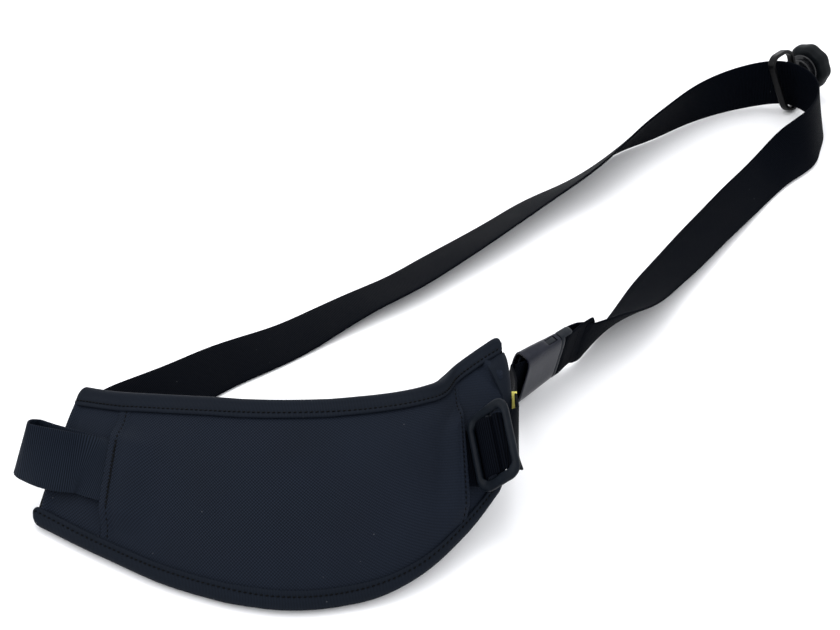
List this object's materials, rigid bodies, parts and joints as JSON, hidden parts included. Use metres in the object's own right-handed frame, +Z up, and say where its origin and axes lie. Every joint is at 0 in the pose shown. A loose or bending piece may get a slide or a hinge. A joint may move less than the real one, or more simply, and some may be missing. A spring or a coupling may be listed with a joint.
{
  "type": "crossbody strap",
  "caption": "Wide webbing crossbody strap laid out flat: curved padded shoulder section, tri-glide adjuster, side-release buckle and a slider ring with a swivel knob.",
  "frame": {"origin": "on the floor, under the middle of the strap's bounding box", "axes": "+Z up from the floor, +X towards the knob end, +Y from the pad towards the long run"},
  "size_m": [0.5884, 0.6308, 0.078],
  "materials": {
    "pad_fabric": "coarse woven nylon, matte",
    "pad_lining": "soft knitted lining over foam, matte",
    "edge_tape": "folded ribbed tape, matte",
    "webbing": "cross-ribbed nylon webbing, slight sheen",
    "glide_plastic": "satin moulded",
    "buckle_plastic": "smooth glossy moulded",
    "plug_plastic": "satin moulded",
    "ring_metal": "dark satin coating",
    "stem_metal": "polished dark coating",
    "knob_rubber": "moulded, satin",
    "tag_fabric": "plain woven tape"
  },
  "bodies": {
    "strap": {"pad_core": "pad_lining", "pad_front_panel": "pad_fabric", "pad_end_panel_left": "pad_fabric", "pad_end_panel_right": "pad_fabric", "pad_edge_tape_upper": "edge_tape", "pad_edge_tape_lower": "edge_tape", "grab_loop": "webbing", "long_strap": "webbing", "adjuster_webbing": "webbing", "strap_adjuster": "glide_plastic", "buckle_housing": "buckle_plastic", "buckle_plug": "plug_plastic", "slider_ring": "ring_metal", "swivel_stem": "stem_metal", "side_tag": "tag_fabric"},
    "knob": {"knob": "knob_rubber"}
  },
  "joints": [
    {"name": "knob_spin", "type": "hinge", "parent": "strap", "child": "knob", "pos_m": [0.27737, 0.29921, 0.02452], "axis": [0.6801, 0.7331, 0], "continuous": true}
  ]
}
